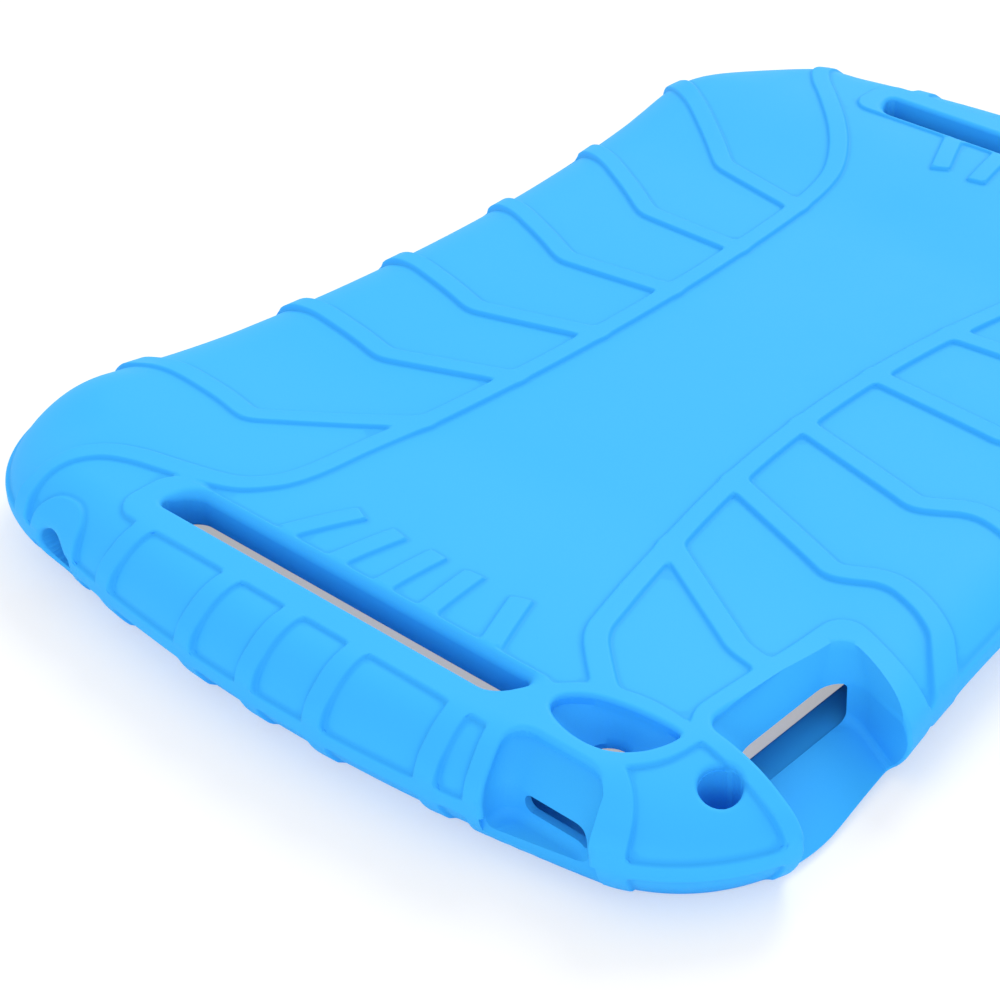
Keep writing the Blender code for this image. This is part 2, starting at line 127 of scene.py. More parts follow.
RIB_EDGE_NEAR = (-74.0, -42.5, -17.5, 11.0, 38.5, 68.0)
RIB_KINK_FAR = 0.45
RIB_KINK_NEAR = 0.535
RIB_DIP_FAR = (10.3, 6.2, 6.2, 6.2, 6.2, 6.2)
RIB_DIP_NEAR = (0.9, 2.3, 2.3, 2.3, 2.3, 2.3)
RIB_WAVE_FAR = ((0.0, 0.0), (0.92, 0.97), (1.0, 1.03), (1.08, 0.98), (1.35, 0.65), (1.76, 0.27),
                (1.95, 0.12))
RIB_WAVE_NEAR = ((0.0, 0.0), (0.9, 0.9), (1.0, 1.1), (1.08, 0.7), (1.32, -1.65), (1.6, -1.5),
                 (1.8, -0.8))
RIB_OVERRUN = 20.0
TICK_Y = (16.5, 5.0, -5.0, -14.5, -27.5)
TICK_LEAN = (-5.0, -2.0, -0.4, 1.4, 4.8)
TICK_OUTER_X = 88.6
TICK_LENGTH = 11.6
END_RIB_Y = (-33.5, -13.4, 0.0, 13.4, 33.5)
END_RIB_INNER_X = 98.2
END_RIB_FAN = 1.08
BELT_BOTTOM = 6.9
BELT_TOP = 9.6

# Raised frames round the openings
FRAME_BAND = 3.2
SLOT_FRAME_X = 94.8
SLOT_FRAME_SIZE = (12.8, 85.0)
SLOT_FRAME_RADIUS = 4.5
POWER_POST = 1.8
JACK_BAND = 1.5
JACK_FRAME_X = -104.0
JACK_FRAME_RADIUS = 5.0
PLUG_FRAME_X = 106.6
PLUG_FRAME_RADIUS = 1.0

# Openings in the back: where their drafted walls end, under the rounded rims
RIM_HEIGHT = 15.8
DRAFT_POWER = 1.4
SLOT_X = 93.0
SLOT_WIDTH = 6.2
SLOT_HALF_LENGTH = 36.8
SLOT_RADIUS = 2.4
SLOT_LEAN = 0.45
SLOT_CEILING_ROUNDING = 0.5
CAMERA_X = -91.9
CAMERA_Y = -53.0
CAMERA_RADIUS = 3.7
CAMERA_THROAT = 12.0
CAMERA_RIM = ((6.3, -7.8), (6.3, -4.0), (5.9, 0.8), (4.5, 6.6), (1.6, 10.2), (-1.2, 9.9),
              (-3.0, 6.0), (-3.7, 1.0), (-2.8, -3.4), (0.0, -6.6), (3.0, -8.0), (5.6, -8.6))

# Recess for the volume buttons
VOLUME_X = (-81.6, -50.0)
VOLUME_Y = -62.0
VOLUME_LEAN = (0.17, 0.33)
VOLUME_DRAFT = 3.2
VOLUME_SILL = 4.8
VOLUME_FALL = 0.33
VOLUME_RADIUS = 2.6
BOWL_RADIUS = 6.5
RECESS_FILLET = 1.4

# Recess for the power button, and the slot in its wall
POWER_X = -98.2
POWER_Y = (-60.0, -41.5)
POWER_LEAN = 0.32
POWER_DRAFT = 4.8
POWER_SILL = 6.4
POWER_FALL = 0.08
POWER_EDGE = (-104.0, -107.6)
POWER_TUCK = 3.0
POWER_NOTCH = 0.6
POWER_RADIUS = 4.5
BUTTON_PLACE = (-54.0, 9.3)
BUTTON_SIZE = (12.4, 3.0)
BUTTON_RADIUS = 1.4

# Openings in the ends and at the near corner
JACK_Y = 50.5
JACK_RADIUS = 3.85
JACK_MOUTH = (5.5, 4.0)
JACK_INNER_X = -102.6
JACK_OUTER_X = -112.5
PLUG_WIDTH = 15.0
PLUG_HEIGHT = 6.0
PLUG_ROUND = 2.4
LANYARD_X = -88.9
LANYARD_Y = -70.8
LANYARD_RADIUS = 3.1
LANYARD_FLOOR = 5.0
INTO_POCKET = 5.0
UNDER_CASE = -3.0
RUN_OUT = 40.0
CLEAR = 30.0

# Heights between which the relief grows on the shoulders and fades out at the foot
SHOULDER_HEIGHTS = (14.8, 12.4)
OVER_BELT_HEIGHTS = (9.2, 10.4)
FOOT_HEIGHTS = (0.8, 2.6)

# Rims: the sharp share of a rounding, and how far the surface inside an opening is sunk
SHARP_ROUNDING = 0.45
SUNK_SHARE = 0.35
RIM_LINE = 0.02
LOW_RIM_HEIGHTS = (2.0, 6.0)
END_ZONE = 95.0

# Mesh
FIELD_STEP = 0.75
ROW_STEP = 0.95
FLAT_STEP = 2.3
CURVED_STEP = 1.3
FAR = 6.0


def length(name, description, default, low=0.0001):
    return FloatProperty(name=name, description=description, default=default, min=low, unit="LENGTH")


def amount(name, description, default, high=10.0):
    return FloatProperty(name=name, description=description, default=default, min=0.0, max=high)


def tone(name, description, default):
    return FloatVectorProperty(name=name, description=description, default=default,
                               subtype="COLOR", min=0.0, max=1.0)


class CaseRelief(bpy.types.PropertyGroup):
    rib_height: length("Rib Height", "How far the ribs stand proud of the body", 0.00055, 0.0)
    side_gain: amount("Side Gain", "How much taller the ribs grow on the shoulders", 0.9)
    rib_width: length("Rib Width", "Width of a rib half way up its flanks", 0.0038, 0.001)
    rib_flank: length("Rib Flank", "Half the width over which a rib's side rises", 0.00032)
    junction: length("Junction", "Size of the fillet where ribs meet", 0.00035)


class CaseRims(bpy.types.PropertyGroup):
    slot: length("Slots", "Rounding of the slots' inner rims; the outer ones have under half",
                 0.0018, 0.0003)
    camera: length("Camera", "Rounding of the camera funnel's rim", 0.0007, 0.0003)
    recess: length("Recesses", "Rounding of the button recesses' rims", 0.0007, 0.0003)
    hole: length("Holes", "Rounding of the round holes' rims", 0.0008, 0.0003)


class CaseFinish(bpy.types.PropertyGroup):
    colour: tone("Silicone", "Colour of the silicone", (0.046, 0.465, 1.0))
    # This colour is painted shade: a darker blue at the feet of the ribs that stands in for the shade
    # falling in the creases there, not a colour the silicone has.
    painted_crease_shade: tone("Painted Crease Shade", "Colour at the feet of the ribs, where the surface stays matte",
                        (0.022, 0.33, 0.88))
    roughness: amount("Roughness", "Roughness of the moulded surface", 0.55, 1.0)
    grain: length("Grain", "Depth of the fine moulded grain", 0.00002, 0.0)


class CaseStudio(bpy.types.PropertyGroup):
    floor_colour: tone("Floor", "Colour of the floor in light and shadow, as the camera sees it",
                       (0.6, 0.6, 0.6))
    floor_glow: tone("Floor Glow", "What the camera sees of the floor in any light",
                     (0.42, 0.42, 0.42))
    bounce_colour: tone("Bounce", "Colour that the floor throws on the case", (0.95, 0.95, 0.95))
    sky: amount("Sky", "Strength of the even light from all round", 0.87)
    key: amount("Key Light", "Strength of the main light, from behind", 1.15)
    fill: amount("Fill Light", "Strength of the low light on the near sides", 0.5)
    light_size: FloatProperty(name="Light Angle", description="How wide the lights appear",
                              default=math.radians(28), subtype="ANGLE")


def smooth_step(t):
    t = np.clip(t, 0.0, 1.0)
    return t * t * (3 - 2 * t)


def half_width(x):
    return WAIST_HALF_WIDTH + FLARE * (np.minimum(np.abs(x), FLARE_REACH) / FLARE_REACH) ** 2


def back_height(x):
    """Height of the back over the middle, which rises towards both ends."""
    lowest = CAD_HIGH[2] - END_RISE - CAD_RIB_HEIGHT
    return lowest + END_RISE * smooth_step((np.abs(x) - RISE_START) / (RISE_END - RISE_START))


def shoulder_width(normal):
    corner = (2 * normal[:, 0] * normal[:, 1]) ** 2
    return SHOULDER_END + (SHOULDER_SIDE - SHOULDER_END) * normal[:, 1] ** 2 + SHOULDER_CORNER * corner


def along_path(points, step, closed=False):
    """Points spaced evenly along a path, close to `step` apart."""
    points = np.asarray(points, float)
    if closed:
        points = np.vstack((points, points[:1]))
    reach = np.concatenate(([0.0], np.cumsum(np.linalg.norm(np.diff(points, axis=0), axis=1))))
    count = max(2, round(reach[-1] / step))
    places = np.linspace(0.0, reach[-1], count + 1)[:-1 if closed else None]
    return np.column_stack([np.interp(places, reach, points[:, k]) for k in range(points.shape[1])])


class Outline:
    """The case seen from above: evenly spaced points, clockwise, with outward normals."""

    COARSE = 8
    BLOCK = 20000
    TIGHTEST_BEND = 0.2

    def __init__(self):
        points = along_path(self.loop(), OUTLINE_STEP, closed=True)
        self.step = np.linalg.norm(points[1] - points[0])
        waves = np.fft.fftfreq(len(points), self.step)
        soften = np.exp(-2 * (math.pi * OUTLINE_SOFTNESS * waves) ** 2)
        shape = np.fft.ifft(np.fft.fft(points[:, 0] + 1j * points[:, 1]) * soften)
        self.points = np.column_stack((shape.real, shape.imag))
        along = np.roll(self.points, -1, 0) - np.roll(self.points, 1, 0)
        normals = np.column_stack((-along[:, 1], along[:, 0]))
        self.normals = normals / np.linalg.norm(normals, axis=1)[:, None]
        turn = np.roll(self.normals, -1, 0) - np.roll(self.normals, 1, 0)
        tangents = np.column_stack((self.normals[:, 1], -self.normals[:, 0]))
        self.curvature = (turn * tangents).sum(1) / (2 * self.step)

    def loop(self):
        end = max(CAD_HIGH[0], -CAD_LOW[0]) - CAD_RIB_HEIGHT - END_BOW
        start = end - CORNER_RADIUS
        for _ in range(20):
            slope = math.atan(2 * FLARE * start / FLARE_REACH ** 2)
            start = end - CORNER_RADIUS - CORNER_RADIUS * math.sin(slope)
        centre = end - CORNER_RADIUS, half_width(start) - CORNER_RADIUS * math.cos(slope)
        side = [(x, half_width(x)) for x in np.linspace(0, start, 80, endpoint=False)]
        angles = np.linspace(math.pi / 2 + slope, 0, 60)
        corner = [(centre[0] + CORNER_RADIUS * math.cos(a), centre[1] + CORNER_RADIUS * math.sin(a))
                  for a in angles]
        ys = np.linspace(centre[1], 0, 50)[1:]
        bow = [(end + END_BOW * (1 - (y / centre[1]) ** 2), y) for y in ys]
        quarter = side + corner + bow
        right = quarter + [(x, -y) for x, y in quarter[-2::-1]]
        return right + [(-x, y) for x, y in right[-2:0:-1]]

    def sample(self, place):
        """Point, normal and curvature at places along the outline, counted in steps."""
        low = np.floor(place).astype(int)
        part = (place - low)[:, None]
        low, high = low % len(self.points), (low + 1) % len(self.points)
        point = self.points[low] * (1 - part) + self.points[high] * part
        normal = self.normals[low] * (1 - part) + self.normals[high] * part
        curve = self.curvature[low] * (1 - part[:, 0]) + self.curvature[high] * part[:, 0]
        return point, normal / np.linalg.norm(normal, axis=1)[:, None], curve

    def locate(self, flat):
        """The outline point that each flat point lies square to, its normal and the distance."""
        coarse, place = self.COARSE, np.empty(len(flat))
        for start in range(0, len(flat), self.BLOCK):
            block = flat[start:start + self.BLOCK]
            gap = ((block[:, None] - self.points[None, ::coarse]) ** 2).sum(-1)
            place[start:start + self.BLOCK] = gap.argmin(1) * coarse
        for _ in range(5):
            point, normal, curve = self.sample(place)
            off = flat - point
            tangent = np.column_stack((normal[:, 1], -normal[:, 0]))
            bend = np.maximum(1 + (off * normal).sum(1) * curve, self.TIGHTEST_BEND)
            place = place + np.clip((off * tangent).sum(1) / (self.step * bend), -coarse, coarse)
        point, normal, _ = self.sample(place)
        return point, normal, ((flat - point) * normal).sum(1)


class Pillow:
    """Lays the back, shoulders and sides out flat, and sets flat points back on the body."""

    SHOULDER_STEPS = 16
    SIDE_STEPS = 16

    def __init__(self, outline):
        self.outline = outline

    def profile(self, step, reach, top):
        """Inset and height at a step down the profile, from the shoulder's start to the foot."""
        turn = math.pi / 2 * (1 - np.clip(step / self.SHOULDER_STEPS, 0, 1))
        down = np.clip((step - self.SHOULDER_STEPS) / self.SIDE_STEPS, 0, 1)
        inset = reach * (1 - np.cos(turn) ** SHOULDER_POWER) + FOOT_INSET * down ** FOOT_POWER
        rise = np.clip(np.sin(turn), 0, 1) ** SHOULDER_POWER
        return inset, (WIDEST_HEIGHT + (top - WIDEST_HEIGHT) * rise) * (1 - down)

    def lengths(self, point, normal):
        reach = shoulder_width(normal)
        top = back_height(point[:, 0] - normal[:, 0] * reach)
        steps = np.arange(self.SHOULDER_STEPS + self.SIDE_STEPS + 1)[None]
        inset, height = self.profile(steps, reach[:, None], top[:, None])
        run = np.hypot(np.diff(inset, axis=1), np.diff(height, axis=1))
        return reach, np.concatenate((np.zeros((len(run), 1)), np.cumsum(run, axis=1)), axis=1)

    def place(self, flat):
        """Points on the body, and how far each flat point lies beyond the foot."""
        point, normal, outward = self.outline.locate(flat)
        reach, lengths = self.lengths(point, normal)
        down = outward + reach
        solid = np.column_stack((flat, back_height(flat[:, 0])))
        row = np.nonzero(down > 0)[0]
        spans, along = lengths[row], down[row]
        cell = np.clip((spans[:, 1:] <= along[:, None]).sum(1), 0, spans.shape[1] - 2)
        index = np.arange(len(row))
        start, stop = spans[index, cell], spans[index, cell + 1]
        step = cell + np.clip((along - start) / (stop - start), 0, 1)
        inset, _ = self.profile(step, reach[row], 0.0)
        plan = point[row] - normal[row] * inset[:, None]
        height = self.profile(step, reach[row], back_height(plan[:, 0]))[1]
        solid[row] = np.column_stack((plan, height))
        return solid, down - lengths[:, -1], down

    def foot(self, step):
        """The flat layout's edge, which is the foot of the body."""
        reach, lengths = self.lengths(self.outline.points, self.outline.normals)
        edge = self.outline.points + self.outline.normals * (lengths[:, -1] - reach)[:, None]
        return along_path(edge, step, closed=True)


def rounded(path, rounds=3):
    """A path with its corners cut, so that it runs in smooth bends."""
    path = np.asarray(path, float)
    for _ in range(rounds):
        low, high = path[:-1] * 0.75 + path[1:] * 0.25, path[:-1] * 0.25 + path[1:] * 0.75
        middle = np.column_stack((low, high)).reshape(-1, 2)[1:-1]
        path = np.vstack((path[:1], middle, path[-1:]))
    return path


def main_rib_y(x, side):
    middle, spread = MAIN_RIB_FAR if side > 0 else MAIN_RIB_NEAR
    return middle + spread * (x / MAIN_RIB_REACH) ** 2


def main_rib(side):
    """Long curved rib on one side of the middle, turned outward round both slots."""
    path = [(x, main_rib_y(x, side)) for x in np.linspace(-MAIN_RIB_REACH, MAIN_RIB_REACH, 11)]
    if side > 0:
        path = list(HOOK) + path + list(TURN_FAR)
    else:
        path = [(-x, y) for x, y in TURN_NEAR[::-1]] + path + list(TURN_NEAR)
    return [(x, side * y) for x, y in path]


def cross_rib(index, side):
    """Wavy rib from the main rib out over the long side."""
    edges, dips, wave, kink = RIB_EDGE_NEAR, RIB_DIP_NEAR, RIB_WAVE_NEAR, RIB_KINK_NEAR
    if side > 0:
        edges, dips, wave, kink = RIB_EDGE_FAR, RIB_DIP_FAR, RIB_WAVE_FAR, RIB_KINK_FAR
    start_x = RIB_PITCH * (index - (len(edges) - 1) / 2)
    start_y = main_rib_y(start_x, side)
    path = []
    for share, dip in wave + ((1 / kink, 0.0),):
        along = share * kink
        x = start_x + (edges[index] - start_x) * along - dips[index] * dip
        path.append((x, side * (start_y + (RIB_EDGE_Y - start_y) * along)))
    lean = np.subtract(path[-1], path[-2])
    path.append(tuple(path[-1] + lean / np.linalg.norm(lean) * RIB_OVERRUN))
    return path


def rib_paths():
    paths = []
    for side in (-1, 1):
        paths.append(rounded(main_rib(side)))
        paths.extend(rounded(cross_rib(index, side)) for index in range(len(RIB_EDGE_FAR)))
    for end in (-1, 1):
        inner, outer = end * END_RIB_INNER_X, end * (END_RIB_INNER_X + RIB_OVERRUN)
        paths.extend(np.array(((inner, y), (outer, y * END_RIB_FAN))) for y in END_RIB_Y)
    return paths


def path_gap(points, path):
    """Distance of plan points from a path."""
    start, along = path[:-1], np.diff(path, axis=0)
    off = points[:, None] - start[None]
    share = np.clip((off * along).sum(-1) / (along ** 2).sum(-1), 0, 1)
    return np.linalg.norm(off - along * share[..., None], axis=-1).min(1)


def bar_gap(points, start, stop, half):
    """Signed distance from a straight bar with square ends."""
    start, stop = np.array(start), np.array(stop)
    along = (stop - start) / np.linalg.norm(stop - start)
    off = points - (start + stop) / 2
    lengthways = np.abs(off @ along) - np.linalg.norm(stop - start) / 2
    sideways = np.abs(off @ np.array((-along[1], along[0]))) - half
    return box_gap(lengthways, sideways)


def box_gap(a, b):
    return np.hypot(np.maximum(a, 0), np.maximum(b, 0)) + np.minimum(np.maximum(a, b), 0)


def rectangle_gap(x, y, centre, size, radius):
    """Signed distance from a rounded rectangle, negative inside."""
    a = np.abs(x - centre[0]) - size[0] / 2 + radius
    b = np.abs(y - centre[1]) - size[1] / 2 + radius
    return box_gap(a, b) - radius


def span(low, high):
    return (low + high) / 2, high - low


def closed_rounded(ring, rounds=2):
    """A closed ring with its corners cut."""
    for _ in range(rounds):
        after = np.roll(ring, -1, 0)
        ring = np.stack((ring * 0.75 + after * 0.25, ring * 0.25 + after * 0.75), 1).reshape(-1, 2)
    return ring


def ring_gap(x, y, ring):
    """Signed distance from a closed ring of plan points, negative inside."""
    gap = np.full(x.shape, FAR)
    low, high = ring.min(0) - FAR, ring.max(0) + FAR
    near = np.nonzero((x > low[0]) & (x < high[0]) & (y > low[1]) & (y < high[1]))[0]
    points = np.column_stack((x[near], y[near]))
    start, stop = ring, np.roll(ring, -1, 0)
    over = (start[:, 1] > points[:, None, 1]) != (stop[:, 1] > points[:, None, 1])
    rise = np.where(stop[:, 1] == start[:, 1], 1.0, stop[:, 1] - start[:, 1])
    cross = start[:, 0] + (points[:, None, 1] - start[:, 1]) / rise * (stop[:, 0] - start[:, 0])
    inside = (over & (points[:, None, 0] < cross)).sum(1) % 2 == 1
    gap[near] = path_gap(points, np.vstack((ring, ring[:1]))) * np.where(inside, -1, 1)
    return gap


def camera_rim(grow=0.0):
    """Pointed oval rim of the camera's funnel, grown away from its middle."""
    ring = closed_rounded(np.array(CAMERA_RIM))
    reach = np.linalg.norm(ring, axis=1)[:, None]
    return (CAMERA_X, CAMERA_Y) + ring * (1 + grow / reach)


def camera_throat():
    """Round hole with a point under each point of the rim."""
    middle = np.array((CAMERA_X, CAMERA_Y))
    ring = camera_rim() - middle
    return middle + ring * CAMERA_RADIUS / np.linalg.norm(ring, axis=1)[:, None]


def draft_left(height):
    """Share of its draft that a recess's wall still has at a height."""
    rise = np.clip((height - POCKET_TOP) / (RIM_HEIGHT - POCKET_TOP), 0, 1)
    return 1 - rise ** DRAFT_POWER


def recess_shape(box, radius, grow):
    """Middle, size and corner radius of a plan box, grown on every side."""
    (x, along), (y, across) = span(*box[:2]), span(*box[2:])
    return (x, y), (along + 2 * grow, across + 2 * grow), radius + grow


def volume_shape(share=0.0, grow=0.0):
    """Middle, size and corner radius of the volume recess, at a share of its draft."""
    draft = VOLUME_DRAFT * share
    box = VOLUME_X[0], VOLUME_X[1] - draft, VOLUME_Y - RUN_OUT, VOLUME_Y - draft
    return recess_shape(box, VOLUME_RADIUS + (BOWL_RADIUS - VOLUME_RADIUS) * share, grow)


def volume_turn(ring):
    """Turns plan points so that the recess runs square out of the flared side."""
    x, y = ring[:, 0], ring[:, 1]
    share = (x - VOLUME_X[0]) / (VOLUME_X[1] - VOLUME_X[0])
    lean = VOLUME_LEAN[0] + (VOLUME_LEAN[1] - VOLUME_LEAN[0]) * share
    return np.column_stack((x + lean * (y - VOLUME_Y), y))


def volume_place(x, y):
    """Undoes the turn of the volume recess."""
    rate = (VOLUME_LEAN[1] - VOLUME_LEAN[0]) / (VOLUME_X[1] - VOLUME_X[0])
    out = y - VOLUME_Y
    return (x - (VOLUME_LEAN[0] - rate * VOLUME_X[0]) * out) / (1 + rate * out), y


def volume_floor(x, y):
    """The volume recess opens downward as it runs out over the side."""
    return VOLUME_SILL + (y + TABLET_WIDTH / 2) * VOLUME_FALL


def power_shape(share=0.0, grow=0.0, post=0.0):
    """Middle, size and corner radius of the power recess, at a share of its draft."""
    box = POWER_X - RUN_OUT, POWER_X - POWER_DRAFT * share, POWER_Y[0] - post, POWER_Y[1]
    return recess_shape(box, POWER_RADIUS, grow)


def power_turn(ring):
    """Turns plan points so that the recess runs square out of the bowed end."""
    return np.column_stack((ring[:, 0], ring[:, 1] + POWER_LEAN * (ring[:, 0] - POWER_X)))


def power_place(x, y):
    return x, y - POWER_LEAN * (x - POWER_X)


def power_floor(x, y):
    return POWER_SILL + (x + TABLET_LENGTH / 2) * POWER_FALL


class Relief:
    """Signed distance on the body from the edge of everything that stands proud."""

    def __init__(self, sizes):
        self.half = sizes.rib_width / MM / 2
        self.blend = sizes.junction / MM
        self.paths = rib_paths()

    def areas(self, x, y):
        """Frames round the openings, and the short bars beside the slots."""
        for end in (-1, 1):
            yield rectangle_gap(x, y, (end * SLOT_FRAME_X, 0.0), SLOT_FRAME_SIZE, SLOT_FRAME_RADIUS)
            for start, lean in zip(TICK_Y, TICK_LEAN):
                yield bar_gap(np.column_stack((x, y)), (end * TICK_OUTER_X, start),
                              (end * (TICK_OUTER_X - TICK_LENGTH), start + lean), self.half)
        yield ring_gap(x, y, camera_rim(FRAME_BAND))
        yield rectangle_gap(*volume_place(x, y), *volume_shape(grow=FRAME_BAND))
        yield rectangle_gap(*power_place(x, y), *power_shape(grow=FRAME_BAND, post=POWER_POST))
        outside, mouth = TABLET_LENGTH / 2 + RUN_OUT, JACK_MOUTH[0]
        jack = -outside, JACK_FRAME_X, JACK_Y - mouth, JACK_Y + mouth
        yield rectangle_gap(x, y, *recess_shape(jack, JACK_FRAME_RADIUS, JACK_BAND))
        plug = PLUG_FRAME_X, outside, -PLUG_WIDTH / 2, PLUG_WIDTH / 2
        yield rectangle_gap(x, y, *recess_shape(plug, PLUG_FRAME_RADIUS, FRAME_BAND))

    def edge(self, solid):
        plan = solid[:, :2]
        total = np.full(len(plan), math.exp(-FAR / self.blend))
        for path in self.paths:
            low, high = path.min(0) - FAR - self.half, path.max(0) + FAR + self.half
            near = np.nonzero(((plan > low) & (plan < high)).all(1))[0]
            total[near] += np.exp((self.half - path_gap(plan[near], path)) / self.blend)
        for gap in self.areas(plan[:, 0], plan[:, 1]):
            total += np.exp(-np.clip(gap, -FAR, FAR) / self.blend)
        middle, width = span(BELT_BOTTOM, BELT_TOP)
        total += np.exp((width / 2 - np.abs(solid[:, 2] - middle)) / self.blend)
        return -self.blend * np.log(total)


class Rims:
    """Signed distance on the body from the nearest opening, and the rounding of its rim."""

    def __init__(self, sizes):
        self.slot, self.camera = sizes.slot / MM, sizes.camera / MM
        self.recess, self.hole = sizes.recess / MM, sizes.hole / MM

    def gaps(self, solid):
        x, y, z = solid.T
        inner = smooth_step((SLOT_X - np.abs(x)) / SLOT_WIDTH + 0.5)
        for end in (-1, 1):
            turned = y - SLOT_LEAN * (np.abs(x) - SLOT_X)
            slot = rectangle_gap(x, turned, (end * SLOT_X, 0.0), (SLOT_WIDTH, 2 * SLOT_HALF_LENGTH),
                                 SLOT_RADIUS)
            yield slot, self.slot * (SHARP_ROUNDING + (1 - SHARP_ROUNDING) * inner)
        yield ring_gap(x, y, camera_rim()), self.camera
        bottom, top = LOW_RIM_HEIGHTS
        rising = smooth_step((z - bottom) / (top - bottom))
        low = SHARP_ROUNDING + (self.recess - SHARP_ROUNDING) * rising
        share = draft_left(z - self.recess)
        for place, shape, floor in ((volume_place, volume_shape, volume_floor),
                                    (power_place, power_shape, power_floor)):
            beside = rectangle_gap(*place(x, y), *shape(share)) + RECESS_FILLET
            yield box_gap(beside, floor(x, y) - z + RECESS_FILLET) - RECESS_FILLET, low
        grown = np.clip((JACK_INNER_X - x) / (JACK_INNER_X - JACK_OUTER_X), 0, 1)
        across, up = (JACK_RADIUS + (mouth - JACK_RADIUS) * grown for mouth in JACK_MOUTH)
        jack = (np.hypot((y - JACK_Y) / across, (z - POCKET_MIDDLE) / up) - 1) * np.sqrt(across * up)
        yield np.where(x < -END_ZONE, jack, FAR), self.hole
        plug = rectangle_gap(y, z, (0.0, POCKET_MIDDLE), (PLUG_WIDTH, PLUG_HEIGHT), PLUG_ROUND)
        yield np.where(x > END_ZONE, plug, FAR), self.hole
        lanyard = np.hypot(x - LANYARD_X, y - LANYARD_Y) - LANYARD_RADIUS
        yield lanyard, self.hole

    def edge(self, solid):
        """Distance from the rim, as a share of its rounding, and the rounding."""
        share, radius = np.full(len(solid), FAR), np.full(len(solid), self.hole)
        for gap, rounding in self.gaps(solid):
            rounding = np.broadcast_to(rounding, gap.shape)
            nearer = gap / rounding < share
            share = np.where(nearer, gap / rounding, share)
            radius = np.where(nearer, rounding, radius)
        return share, radius


def level_lines(values, xs, ys, level):
    """Chains of points where a field on a grid has one value, by marching squares."""
    high = values > level
    mixed = (high[:-1, :-1] != high[1:, :-1]) | (high[:-1, :-1] != high[:-1, 1:]) \
        | (high[:-1, :-1] != high[1:, 1:])
    links = {}

    def join(a, b):
        links.setdefault(a, []).append(b)
        links.setdefault(b, []).append(a)

    for i, j in zip(*np.nonzero(mixed)):
        corners = ((i, j), (i + 1, j), (i + 1, j + 1), (i, j + 1))
        crossed = [tuple(sorted((corners[k], corners[(k + 1) % 4]))) for k in range(4)
                   if high[corners[k]] != high[corners[(k + 1) % 4]]]
        if len(crossed) == 4 and (values[i:i + 2, j:j + 2].mean() > level) == high[i, j]:
            crossed = crossed[1:] + crossed[:1]
        for a, b in zip(crossed[::2], crossed[1::2]):
            join(a, b)

    def point(edge):
        (a, b), (c, d) = edge
        share = (level - values[a, b]) / (values[c, d] - values[a, b])
        return xs[a] + (xs[c] - xs[a]) * share, ys[b] + (ys[d] - ys[b]) * share

    chains, seen = [], set()
    ends = [edge for edge, near in links.items() if len(near) == 1]
    for first in ends + list(links):
        if first in seen:
            continue
        chain, edge = [first], first
        seen.add(first)
        while True:
            following = [other for other in links[edge] if other not in seen]
            if not following:
                break
            edge = following[0]
            seen.add(edge)
            chain.append(edge)
        closed = len(chain) > 2 and chain[0] in links[chain[-1]]
        chains.append((np.array([point(edge) for edge in chain]), closed))
    return chains


